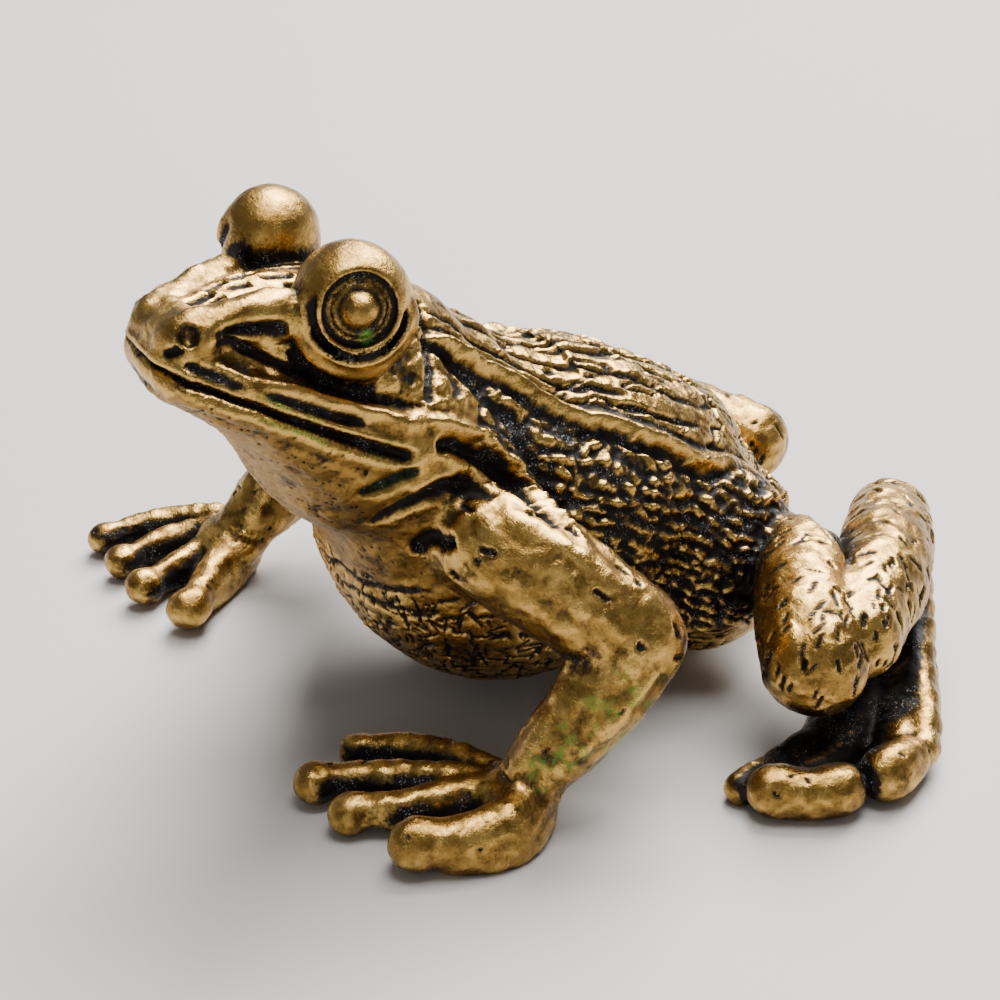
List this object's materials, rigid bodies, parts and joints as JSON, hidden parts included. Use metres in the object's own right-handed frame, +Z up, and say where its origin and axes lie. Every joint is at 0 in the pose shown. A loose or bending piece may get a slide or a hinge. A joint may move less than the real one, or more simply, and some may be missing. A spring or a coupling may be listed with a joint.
{
  "type": "frog figurine",
  "caption": "Solid cast brass miniature of a sitting frog: raised head, domed eyes, folded hind legs and spread toes with flat soles.",
  "frame": {"origin": "bottom centre of the bounding box, on the surface that the soles rest on", "axes": "+Z up; the frog looks along -Y; its left side is +X"},
  "size_m": [0.036, 0.0348, 0.0235],
  "materials": {
    "antiqued_brass": "cast, chemically blackened, then polished back to bright brass on the high spots"
  },
  "bodies": {
    "root": {"trunk": "antiqued_brass", "head": "antiqued_brass", "left_eye": "antiqued_brass", "right_eye": "antiqued_brass", "left_upper_arm": "antiqued_brass", "right_upper_arm": "antiqued_brass", "left_forearm": "antiqued_brass", "right_forearm": "antiqued_brass", "left_front_foot": "antiqued_brass", "right_front_foot": "antiqued_brass", "left_thigh": "antiqued_brass", "right_thigh": "antiqued_brass", "left_shank": "antiqued_brass", "right_shank": "antiqued_brass", "left_hind_foot": "antiqued_brass", "right_hind_foot": "antiqued_brass"}
  },
  "joints": []
}
